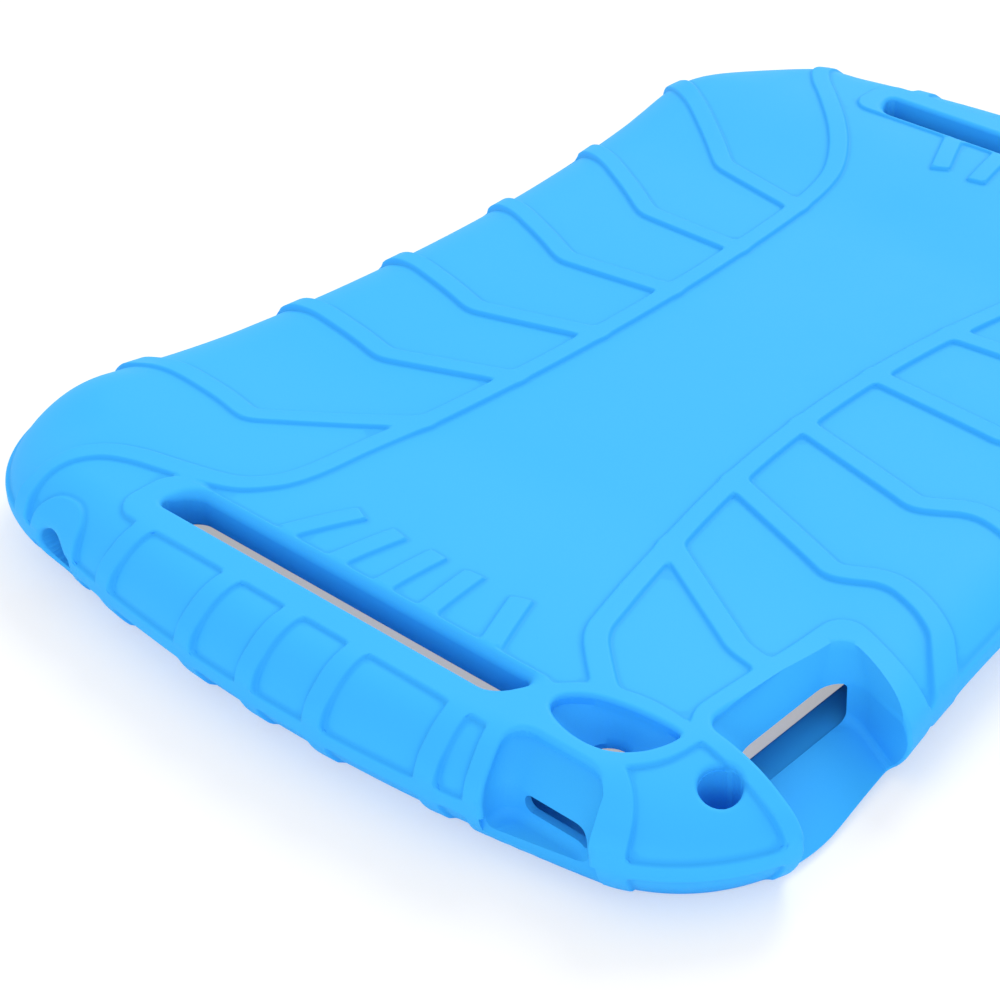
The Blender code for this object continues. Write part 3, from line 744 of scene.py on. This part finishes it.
class Layout:
    """Flat triangulation that follows the ribs' flanks and the openings' rims."""

    FLANK_ROWS = (-1.7, -1.0, -0.55, -0.18, 0.18, 0.55, 1.0, 1.7)
    RIM_ROWS = (1.25, 1.0, 0.66, 0.38, 0.16, 0.03, -0.03, -0.35)
    NUDGE = 0.04
    FLATTEST = 0.05
    LONGEST_MOVE = 0.4
    SHORTEST_LINE = 4
    ROW_SPACING = 0.87
    SAME_POINT = 1e-4
    CLEAR_OF_FOOT = 0.4
    CLEAR_OF_FLANK = (1.9, 0.3)
    CLEAR_OF_RIM = (-1.0, 1.6)

    def __init__(self, pillow, relief, rims, flank):
        self.pillow, self.relief, self.rims, self.flank = pillow, relief, rims, flank
        self.points, self.links = [], []

    def rib_field(self, flat):
        return self.relief.edge(self.pillow.place(flat)[0])

    def rim_field(self, flat):
        return self.rims.edge(self.pillow.place(flat)[0])[0]

    def settle(self, field, flat, level, tries=2):
        """Moves flat points on to the line where the field has one value."""
        for _ in range(tries):
            here = field(flat)
            slope = np.column_stack([(field(flat + way) - here) / self.NUDGE
                                     for way in self.NUDGE * np.eye(2)])
            steep = np.maximum((slope ** 2).sum(1), self.FLATTEST)
            move = slope * ((level - here) / steep)[:, None]
            size = np.maximum(np.linalg.norm(move, axis=1) / self.LONGEST_MOVE, 1.0)[:, None]
            flat = flat + move / size
        return flat

    def add_chain(self, flat, closed):
        first = sum(len(block) for block in self.points)
        self.points.append(flat)
        index = np.arange(first, first + len(flat))
        self.links.extend(zip(index[:-1].tolist(), index[1:].tolist()))
        if closed:
            self.links.append((int(index[-1]), first))

    def add_rows(self, field, values, xs, ys, levels):
        """Rows of points along the lines where a field has the given values."""
        for level in levels:
            lines = [(along_path(line, ROW_STEP, closed), closed)
                     for line, closed in level_lines(values, xs, ys, level)
                     if len(line) > self.SHORTEST_LINE]
            if not lines:
                continue
            settled = self.settle(field, np.vstack([line for line, _ in lines]), level)
            start = 0
            for line, closed in lines:
                part = settled[start:start + len(line)]
                start += len(line)
                self.add_pieces(part, closed, self.pillow.place(part)[1] < -self.CLEAR_OF_FOOT)

    def add_pieces(self, line, closed, keep):
        """Adds the stretches of a line that lie inside the foot."""
        if keep.all():
            self.add_chain(line, closed)
            return
        for stretch in np.split(np.arange(len(line)), np.nonzero(~keep)[0]):
            stretch = stretch[keep[stretch]]
            if len(stretch) > 1:
                self.add_chain(line[stretch], False)

    def add_filling(self, step, wanted, xs, ys):
        """Loose points in staggered rows where `wanted` says they are needed."""
        columns = np.arange(xs[0], xs[-1], step)
        rows = np.arange(ys[0], ys[-1], step * self.ROW_SPACING)
        flat = np.array([(x + step / 2 * (k % 2), y) for k, y in enumerate(rows) for x in columns])
        solid, beyond, down = self.pillow.place(flat)
        clear = (beyond < -step * 0.6) & wanted(down)
        flanks, more = self.CLEAR_OF_FLANK
        clear &= np.abs(self.relief.edge(solid)) > flanks * self.flank + more
        share = self.rims.edge(solid)[0]
        clear &= (share > self.CLEAR_OF_RIM[1]) | (share < self.CLEAR_OF_RIM[0])
        self.points.append(flat[clear])

    def triangulate(self):
        reach = np.abs(self.pillow.foot(1.0)).max(0) + 2
        xs, ys = (np.arange(-r, r, FIELD_STEP) for r in reach)
        grid = np.array(np.meshgrid(xs, ys, indexing="ij")).reshape(2, -1).T
        solid = self.pillow.place(grid)[0]
        rib = self.relief.edge(solid).reshape(len(xs), len(ys))
        rim = self.rims.edge(solid)[0].reshape(len(xs), len(ys))
        self.add_chain(self.pillow.foot(ROW_STEP), True)
        self.add_rows(self.rib_field, rib, xs, ys, [row * self.flank for row in self.FLANK_ROWS])
        self.add_rows(self.rim_field, rim, xs, ys, self.RIM_ROWS)
        self.add_filling(FLAT_STEP, lambda down: down < -1, xs, ys)
        self.add_filling(CURVED_STEP, lambda down: down > -1, xs, ys)
        points = [Vector(p) for p in np.vstack(self.points).tolist()]
        made = delaunay_2d_cdt(points, self.links, [], 0, self.SAME_POINT)
        flat = np.array([tuple(v) for v in made[0]])
        faces = np.array(made[2])
        beyond = self.pillow.place(flat[faces].mean(1))[1]
        return flat, faces[beyond < 0]


class Nodes:
    """Adds nodes to one tree. A node's settings are put on it first, then its sockets."""

    def __init__(self, tree):
        self.tree = tree

    def add(self, kind, settings=None, sockets=None):
        node = self.tree.nodes.new(kind)
        for name, value in (settings or {}).items():
            setattr(node, name, value)
        for name, value in (sockets or {}).items():
            if isinstance(value, Signal):
                self.tree.links.new(value.socket, node.inputs[name])
            else:
                node.inputs[name].default_value = value
        return node

    def signal(self, kind, settings=None, sockets=None, output=0):
        return Signal(self, self.add(kind, settings, sockets).outputs[output])

    def smooth(self, value, low, high):
        """A soft step of a value, 0 at low and 1 at high."""
        sockets = {"Value": value, "From Min": low, "From Max": high}
        return self.signal("ShaderNodeMapRange", {"interpolation_type": "SMOOTHSTEP"}, sockets)

    def by_ray(self, kind, other, camera):
        """One value for camera rays and another for the rest."""
        values = {"FLOAT": (2, 3), "RGBA": (6, 7)}[kind]
        seen = self.signal("ShaderNodeLightPath", output=0)
        sockets = {0: seen, values[0]: other, values[1]: camera}
        return self.signal("ShaderNodeMix", {"data_type": kind}, sockets, 2 if kind == "RGBA" else 0)


class Signal:
    """An output socket, so that an expression on values adds its Math nodes."""

    def __init__(self, nodes, socket):
        self.nodes, self.socket = nodes, socket

    def math(self, operation, *values):
        return self.nodes.signal("ShaderNodeMath", {"operation": operation}, dict(enumerate(values)))

    def __add__(self, other):
        return self.math("ADD", self, other)

    def __sub__(self, other):
        return self.math("SUBTRACT", self, other)

    def __rsub__(self, other):
        return self.math("SUBTRACT", other, self)

    def __mul__(self, other):
        return self.math("MULTIPLY", self, other)

    def __pow__(self, other):
        return self.math("POWER", self, other)

    __radd__ = __add__
    __rmul__ = __mul__

    def limited(self):
        return self.math("MINIMUM", self.math("MAXIMUM", self, 0.0), 1.0)


def relief_tree():
    """Raises the ribs and rolls the rims of the openings over, along the surface's normal."""
    tree = bpy.data.node_groups.new("moulded_relief", "GeometryNodeTree")
    tree.interface.new_socket("Geometry", in_out="INPUT", socket_type="NodeSocketGeometry")
    for name in ("Rib Height", "Rib Flank", "Side Gain", "Shoulder Start", "Shoulder End",
                 "Belt Start", "Belt End", "Foot Start", "Foot End"):
        tree.interface.new_socket(name, in_out="INPUT", socket_type="NodeSocketFloat")
    tree.interface.new_socket("Material", in_out="INPUT", socket_type="NodeSocketMaterial")
    tree.interface.new_socket("Geometry", in_out="OUTPUT", socket_type="NodeSocketGeometry")
    nodes = Nodes(tree)
    inputs = nodes.add("NodeGroupInput")
    given = {socket.name: Signal(nodes, socket) for socket in inputs.outputs}

    def stored(name):
        return nodes.signal("GeometryNodeInputNamedAttribute", {"data_type": "FLOAT"}, {"Name": name})

    place = nodes.signal("GeometryNodeInputPosition")
    height = nodes.signal("ShaderNodeSeparateXYZ", None, {0: place}, output=2)
    foot = nodes.smooth(height, given["Foot Start"], given["Foot End"])
    flank = given["Rib Flank"]
    shoulder = nodes.smooth(height, given["Shoulder Start"], given["Shoulder End"]) \
        * nodes.smooth(height, given["Belt Start"], given["Belt End"])
    gain = 1.0 + given["Side Gain"] * shoulder
    rise = nodes.smooth(stored("rib_edge"), flank, flank * -1.0) * given["Rib Height"] * gain * foot
    share, radius = stored("rim_share"), stored("rim_radius")
    inward = (1.0 - share).limited()
    drop = radius * (1.0 - (1.0 - inward ** 2.0) ** 0.5)
    sunk = radius * SUNK_SHARE * nodes.smooth(share, RIM_LINE, -RIM_LINE)
    normal = nodes.signal("GeometryNodeInputNormal")
    offset = nodes.signal("ShaderNodeVectorMath", {"operation": "SCALE"},
                          {0: normal, "Scale": rise - drop - sunk})
    moved = nodes.signal("GeometryNodeSetPosition", None,
                         {"Geometry": given["Geometry"], "Offset": offset})
    real = nodes.signal("GeometryNodeRealizeInstances", None, {"Geometry": moved})
    coated = nodes.signal("GeometryNodeSetMaterial", None,
                          {"Geometry": real, "Material": given["Material"]})
    nodes.add("NodeGroupOutput", None, {"Geometry": coated})
    return tree


def add_relief(item, values):
    """Puts the relief tree on an object and sets its inputs by name."""
    step = item.modifiers.new("moulded_relief", "NODES")
    step.node_group = relief_tree()
    for socket in step.node_group.interface.items_tree:
        if socket.in_out == "INPUT" and socket.name in values:
            step[socket.identifier] = values[socket.name]
    return step


def plain_mesh(item, name):
    """The evaluated object as a mesh of its own."""
    bpy.context.view_layer.update()
    graph = bpy.context.evaluated_depsgraph_get()
    data = bpy.data.meshes.new_from_object(item.evaluated_get(graph))
    data.name = name
    return data


def link(name, data):
    item = bpy.data.objects.new(name, data)
    bpy.context.scene.collection.objects.link(item)
    return item


def rounded_rectangle(centre, size, radius, steps=10):
    points = []
    for quarter, (sx, sy) in enumerate(((1, 1), (-1, 1), (-1, -1), (1, -1))):
        for i in range(steps + 1):
            angle = math.pi / 2 * (quarter + i / steps)
            points.append((centre[0] + sx * (size[0] / 2 - radius) + radius * math.cos(angle),
                           centre[1] + sy * (size[1] / 2 - radius) + radius * math.sin(angle)))
    return np.array(points)


def grown(centre, size, radius, grow):
    return rounded_rectangle(centre, (size[0] + 2 * grow, size[1] + 2 * grow), max(radius + grow, 0.3))


def loft(name, rings):
    """Closed solid through rings of points, with flat ends."""
    mesh = bmesh.new()
    rows = [[mesh.verts.new(Vector(p) * MM) for p in ring] for ring in rings]
    mesh.faces.new(rows[0])
    mesh.faces.new(rows[-1])
    for low, high in zip(rows, rows[1:]):
        for i in range(len(low)):
            j = (i + 1) % len(low)
            mesh.faces.new((low[i], low[j], high[j], high[i]))
    bmesh.ops.triangulate(mesh, faces=mesh.faces)
    bmesh.ops.recalc_face_normals(mesh, faces=mesh.faces)
    data = bpy.data.meshes.new(name)
    mesh.to_mesh(data)
    mesh.free()
    item = link(name, data)
    item.hide_render = True
    return item


def level_ring(plan, height):
    return np.column_stack((plan, np.full(len(plan), height)))


def flare(radius, steps=5):
    """Outward reach against distance from a rim, for a rim rounded by a flared cutter."""
    angles = np.linspace(0, math.pi / 2, steps + 1)
    return [(radius * (1 - math.cos(a)), radius * (1 - math.sin(a))) for a in angles]


def pocket_cutter():
    centre, size = (0, 0), (TABLET_LENGTH + 2 * POCKET_GAP, TABLET_WIDTH + 2 * POCKET_GAP)
    fillet = flare(POCKET_FILLET, 4)
    up = [(LIP_HEIGHT + depth, -reach) for depth, reach in fillet]
    down = [(POCKET_TOP - depth, -reach) for depth, reach in fillet[::-1]]
    return loft("pocket_cut", [level_ring(grown(centre, size, TABLET_RADIUS, grow), z)
                               for z, grow in up + down])


def screen_cutter():
    size = TABLET_LENGTH - 2 * SCREEN_LIP, TABLET_WIDTH - 2 * SCREEN_LIP
    outside, inside = LIP_ROUNDING
    stops = [(UNDER_CASE, outside)] + sorted((near, out) for out, near in flare(outside))
    stops += sorted((LIP_HEIGHT - near, out) for out, near in flare(inside)) + [(POCKET_MIDDLE, inside)]
    rings = [level_ring(grown((0, 0), size, SCREEN_RADIUS, out), z) for z, out in stops]
    return loft("screen_cut", rings)


def slot_cutter(end):
    """Upright cutter from inside the pocket, flared a little at the pocket's ceiling."""
    soft = SLOT_CEILING_ROUNDING
    stops = [(POCKET_MIDDLE, soft)] + sorted((POCKET_TOP + near, out) for out, near in flare(soft))
    rings = []
    for z, out in stops + [(CLEAR, 0.0)]:
        ring = grown((SLOT_X, 0.0), (SLOT_WIDTH, 2 * SLOT_HALF_LENGTH), SLOT_RADIUS, out)
        turned = np.column_stack((end * ring[:, 0], ring[:, 1] + SLOT_LEAN * (ring[:, 0] - SLOT_X)))
        rings.append(level_ring(turned, z))
    return loft("slot_cut", rings)


def camera_cutter():
    """Funnel from a pointed oval rim down to a round hole."""
    rim, throat = camera_rim(), camera_throat()
    rings = [level_ring(throat, POCKET_MIDDLE)]
    for height in np.linspace(CAMERA_THROAT, RIM_HEIGHT, 6):
        share = ((height - CAMERA_THROAT) / (RIM_HEIGHT - CAMERA_THROAT)) ** 0.9
        rings.append(level_ring(throat + (rim - throat) * share, height))
    return loft("camera_cut", rings + [level_ring(rim, CLEAR)])


def recess_cutter(name, shape, turn, floor):
    """Upright cutter over a sloping floor, with a rounded inner edge and a drafted wall."""
    rings = []
    for angle in np.linspace(0, math.pi / 2, 6):
        inset = RECESS_FILLET * (1 - math.sin(angle))
        rise = RECESS_FILLET * (1 - math.cos(angle))
        ring = turn(rounded_rectangle(*shape(1.0, -inset)))
        rings.append(np.column_stack((ring, floor(ring[:, 0], ring[:, 1]) + rise)))
    for height in np.linspace(POCKET_TOP, RIM_HEIGHT, 7):
        rings.append(level_ring(turn(rounded_rectangle(*shape(draft_left(height)))), height))
    rings.append(level_ring(turn(rounded_rectangle(*shape())), CLEAR))
    return loft(name, rings)


def foot_cutter():
    """Cuts the foot of the end away under the power recess, further in towards the ground."""
    near, far = POWER_Y[0] - POWER_NOTCH, POWER_Y[1] + POWER_NOTCH
    out = POWER_X - RUN_OUT
    rings = []
    for height, tuck in ((-CLEAR, POWER_TUCK), (0.0, POWER_TUCK),
                         (LIP_HEIGHT, 0.0), (POCKET_MIDDLE, 0.0)):
        left, right = POWER_EDGE[0] + tuck, POWER_EDGE[1] + tuck
        plan = np.array(((left, near), (right, far), (out, far), (out, near)))
        rings.append(level_ring(power_turn(plan), height))
    return loft("power_edge_cut", rings)


def oval(middle, across, up, steps=48):
    angles = np.linspace(0, 2 * math.pi, steps, endpoint=False)
    return np.column_stack((middle[0] + across * np.cos(angles), middle[1] + up * np.sin(angles)))


def end_cutter(name, *sections):
    """Cutter along the case through sections of (place, ring across the case)."""
    return loft(name, [np.column_stack((np.full(len(ring), x), ring)) for x, ring in sections])


def cutters():
    yield pocket_cutter()
    yield screen_cutter()
    for end in (-1, 1):
        yield slot_cutter(end)
    yield camera_cutter()
    yield recess_cutter("volume_cut", volume_shape, volume_turn, volume_floor)
    yield recess_cutter("power_cut", power_shape, power_turn, power_floor)
    yield foot_cutter()
    wall = TABLET_LENGTH / 2
    button = rounded_rectangle(BUTTON_PLACE, BUTTON_SIZE, BUTTON_RADIUS)
    yield end_cutter("button_cut", (INTO_POCKET - wall, button), (-wall - INTO_POCKET, button))
    middle = JACK_Y, POCKET_MIDDLE
    hole = oval(middle, JACK_RADIUS, JACK_RADIUS)
    yield end_cutter("jack_cut", (INTO_POCKET - wall, hole), (JACK_INNER_X, hole),
                     (JACK_OUTER_X, oval(middle, *JACK_MOUTH)))
    lanyard = oval((LANYARD_X, LANYARD_Y), LANYARD_RADIUS, LANYARD_RADIUS)
    yield loft("lanyard_cut", [level_ring(lanyard, z) for z in (LANYARD_FLOOR, CLEAR)])
    plug = rounded_rectangle((0.0, POCKET_MIDDLE), (PLUG_WIDTH, PLUG_HEIGHT), PLUG_ROUND)
    yield end_cutter("plug_cut", (wall - INTO_POCKET, plug), (wall + RUN_OUT, plug))


def silicone(finish):
    """Soft matte silicone: even colour, a fine grain, and painted shade in a darker blue at the feet of
    the ribs.
    """
    material = bpy.data.materials.new("blue_silicone")
    material.use_nodes = True
    nodes = Nodes(material.node_tree)
    surface = material.node_tree.nodes["Principled BSDF"]
    place = nodes.signal("ShaderNodeTexCoord", output=3)

    def noise(scale, detail):
        sockets = {"Vector": place, "Scale": scale, "Detail": detail, "Roughness": 0.55}
        return nodes.signal("ShaderNodeTexNoise", None, sockets)

    def mix(share, a, b):
        kinds = {"data_type": "RGBA"}
        return nodes.signal("ShaderNodeMix", kinds, {0: share, 6: a, 7: b}, output=2)

    def colour(value):
        return (*value, 1.0)

    edge = nodes.signal("ShaderNodeAttribute", {"attribute_name": "rib_edge"}, output=2)
    # Painted shade: a mask over the feet of the ribs, where a darker colour stands in for the shade
    # that falls in the creases.
    crease_shade_mask = nodes.smooth(edge, 0.0011, 0.0003) * nodes.smooth(edge, -0.0003, 0.0002)
    broad, fine = noise(28.0, 3.0), noise(2600.0, 2.0)
    # The painted crease shade is mixed with a broad random tone that the silicone has.
    painted_shade_and_tone = crease_shade_mask * 0.4 + (broad - 0.5) * 0.12
    base = mix(painted_shade_and_tone.limited(), colour(finish.colour), colour(finish.painted_crease_shade))
    nodes.tree.links.new(base.socket, surface.inputs["Base Color"])
    rough = finish.roughness + (broad - 0.5) * 0.12 + (fine - 0.5) * 0.1
    nodes.tree.links.new(rough.socket, surface.inputs["Roughness"])
    grain = nodes.signal("ShaderNodeBump", None,
                         {"Height": fine, "Strength": 0.5, "Distance": finish.grain})
    nodes.tree.links.new(grain.socket, surface.inputs["Normal"])
    surface.inputs["Specular IOR Level"].default_value = 0.08
    return material


class CASE_OT_shell(bpy.types.Operator):
    """Build the moulded silicone shell"""
    bl_idname = "case.shell"
    bl_label = "Moulded Shell"

    def execute(self, context):
        scene = context.scene
        sizes = scene.case_relief
        pillow, relief, rims = Pillow(Outline()), Relief(sizes), Rims(scene.case_rims)
        flat, faces = Layout(pillow, relief, rims, sizes.rib_flank / MM).triangulate()
        body = self.body(pillow, relief, rims, flat, faces)
        values = {"Rib Height": sizes.rib_height, "Rib Flank": sizes.rib_flank,
                  "Side Gain": sizes.side_gain, "Material": silicone(scene.case_finish)}
        for name, heights in (("Shoulder", SHOULDER_HEIGHTS), ("Belt", OVER_BELT_HEIGHTS),
                              ("Foot", FOOT_HEIGHTS)):
            for stop, height in zip(("Start", "End"), heights):
                values[f"{name} {stop}"] = height * MM
        add_relief(body, values)
        raised = link("raised_body", self.closed(plain_mesh(body, "raised_body")))
        bpy.data.objects.remove(body)
        shell = link("moulded_shell", self.cut(raised))
        bpy.data.objects.remove(raised)
        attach(shell, "root")
        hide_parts("silicone_shell")
        return {"FINISHED"}

    def body(self, pillow, relief, rims, flat, faces):
        """The bare body as an open mesh that knows how far each point is from ribs and rims."""
        solid = pillow.place(flat)[0]
        used, faces = np.unique(faces, return_inverse=True)
        solid, faces = solid[used], faces.reshape(-1, 3)
        data = bpy.data.meshes.new("bare_body")
        data.from_pydata((solid * MM).tolist(), [], faces.tolist())
        data.shade_smooth()
        share, radius = rims.edge(solid)
        for name, values in (("rib_edge", relief.edge(solid) * MM), ("rim_share", share),
                             ("rim_radius", radius * MM)):
            data.attributes.new(name, "FLOAT", "POINT").data.foreach_set("value", values)
        return link("bare_body", data)

    def closed(self, data):
        """Closes the body underneath with one flat face."""
        mesh = bmesh.new()
        mesh.from_mesh(data)
        edges = [edge for edge in mesh.edges if edge.is_boundary]
        for vert in {vert for edge in edges for vert in edge.verts}:
            vert.co.z = 0.0
        bmesh.ops.holes_fill(mesh, edges=edges, sides=0)
        bmesh.ops.triangulate(mesh, faces=[face for face in mesh.faces if len(face.verts) > 3])
        bmesh.ops.recalc_face_normals(mesh, faces=mesh.faces)
        mesh.to_mesh(data)
        mesh.free()
        return data

    def cut(self, raised):
        """Cuts the pocket and the openings, and marks what is left of the sharp edges."""
        tools = list(cutters())
        for tool in tools:
            step = raised.modifiers.new(tool.name, "BOOLEAN")
            step.operation, step.solver, step.object = "DIFFERENCE", "MANIFOLD", tool
        data = plain_mesh(raised, "moulded_shell")
        for tool in tools:
            bpy.data.objects.remove(tool)
        mesh = bmesh.new()
        mesh.from_mesh(data)
        bmesh.ops.triangulate(mesh, faces=mesh.faces)
        open_edges = sum(not edge.is_manifold for edge in mesh.edges)
        print(f"moulded_shell: {len(mesh.faces)} triangles, {open_edges} open edges")
        mesh.to_mesh(data)
        mesh.free()
        data.shade_smooth()
        data.set_sharp_from_angle(angle=math.radians(40))
        return data


class CASE_OT_studio(bpy.types.Operator):
    """Set up the floor, the lights and the camera"""
    bl_idname = "case.studio"
    bl_label = "Studio"

    CAMERA_PLACE = (-281.83, -231.06, 234.77)
    AZIMUTH = math.radians(-50.0)
    ELEVATION = math.radians(32.3)
    FOCAL_PIXELS = 2454.0
    LIGHTS_FROM = {"key": (0.75, 0.3, 0.6), "fill": (-0.8, -0.6, 0.35)}
    IMAGE_SIZE = 1000.0
    IMAGE_CENTRE = (711.0, 403.0)
    SENSOR = 36.0
    FLOOR_REACH = 4.0

    def execute(self, context):
        scene = context.scene
        self.floor(scene.case_studio)
        self.lights(scene)
        self.camera(scene)
        scene.view_settings.view_transform = "Standard"
        return {"FINISHED"}

    def floor(self, studio):
        bpy.ops.mesh.primitive_plane_add(size=2 * self.FLOOR_REACH, location=(0, 0, 0))
        floor = bpy.context.object
        floor.name = "studio_floor"
        material = bpy.data.materials.new("studio_floor")
        material.use_nodes = True
        nodes = Nodes(material.node_tree)
        surface = material.node_tree.nodes["Principled BSDF"]
        for socket, thrown, looks in (("Base Color", studio.bounce_colour, studio.floor_colour),
                                      ("Emission Color", (0.0, 0.0, 0.0), studio.floor_glow)):
            colour = nodes.by_ray("RGBA", (*thrown, 1.0), (*looks, 1.0))
            nodes.tree.links.new(colour.socket, surface.inputs[socket])
        surface.inputs["Emission Strength"].default_value = 1.0
        surface.inputs["Roughness"].default_value = 0.9
        surface.inputs["Specular IOR Level"].default_value = 0.1
        floor.data.materials.append(material)
        floor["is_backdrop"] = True

    def lights(self, scene):
        studio = scene.case_studio
        world = bpy.data.worlds.new("studio_sky")
        scene.world = world
        world.use_nodes = True
        nodes = Nodes(world.node_tree)
        background = world.node_tree.nodes["Background"]
        strength = nodes.by_ray("FLOAT", studio.sky, 1.0)
        nodes.tree.links.new(strength.socket, background.inputs["Strength"])
        background.inputs["Color"].default_value = (1.0, 1.0, 1.0, 1.0)
        for name, towards in self.LIGHTS_FROM.items():
            sun = bpy.data.lights.new(f"{name}_light", "SUN")
            sun.energy, sun.angle = getattr(studio, name), studio.light_size
            lamp = bpy.data.objects.new(sun.name, sun)
            scene.collection.objects.link(lamp)
            lamp.rotation_mode = "QUATERNION"
            lamp.rotation_quaternion = Vector(towards).to_track_quat("Z", "Y")

    def camera(self, scene):
        data = bpy.data.cameras.new("camera")
        camera = bpy.data.objects.new("camera", data)
        scene.collection.objects.link(camera)
        a, e = self.AZIMUTH, self.ELEVATION
        back = Vector((math.sin(a) * math.cos(e), -math.cos(a) * math.cos(e), math.sin(e)))
        right = Vector((math.cos(a), math.sin(a), 0))
        turn = Matrix((right, back.cross(right), back)).transposed()
        camera.matrix_world = Matrix.Translation(Vector(self.CAMERA_PLACE) * MM) @ turn.to_4x4()
        data.sensor_width = self.SENSOR
        data.lens = self.FOCAL_PIXELS / self.IMAGE_SIZE * self.SENSOR
        data.shift_x = 0.5 - self.IMAGE_CENTRE[0] / self.IMAGE_SIZE
        data.shift_y = self.IMAGE_CENTRE[1] / self.IMAGE_SIZE - 0.5
        data.clip_start, data.clip_end = 0.01, 20.0
        scene.camera = camera


class CASE_PT_panel(bpy.types.Panel):
    """Sizes, finish and studio of the tablet case"""
    bl_label = "Tablet Case"
    bl_idname = "CASE_PT_panel"
    bl_space_type = "VIEW_3D"
    bl_region_type = "UI"
    bl_category = "Tablet Case"

    def draw(self, context):
        for title, group in (("Ribs", "case_relief"), ("Rims", "case_rims"),
                             ("Silicone", "case_finish"), ("Studio", "case_studio")):
            box = self.layout.box()
            box.label(text=title)
            values = getattr(context.scene, group)
            for name in values.__annotations__:
                box.prop(values, name)
        self.layout.operator("case.shell")
        self.layout.operator("case.studio")


GROUPS = {"case_relief": CaseRelief, "case_rims": CaseRims, "case_finish": CaseFinish,
          "case_studio": CaseStudio}
CLASSES = (*GROUPS.values(), CASE_OT_shell, CASE_OT_studio, CASE_PT_panel)


def register():
    for item in CLASSES:
        bpy.utils.register_class(item)
    for name, group in GROUPS.items():
        setattr(bpy.types.Scene, name, PointerProperty(type=group))


def unregister():
    for name in GROUPS:
        delattr(bpy.types.Scene, name)
    for item in reversed(CLASSES):
        bpy.utils.unregister_class(item)


def main():
    register()
    bpy.ops.case.studio()
    bpy.ops.case.shell()
    sizes = {name: [list(corner) for corner in box]
             for name, box in (("cad", CAD_BOX), ("scene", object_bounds()))}


if __name__ == "__main__":
    main()
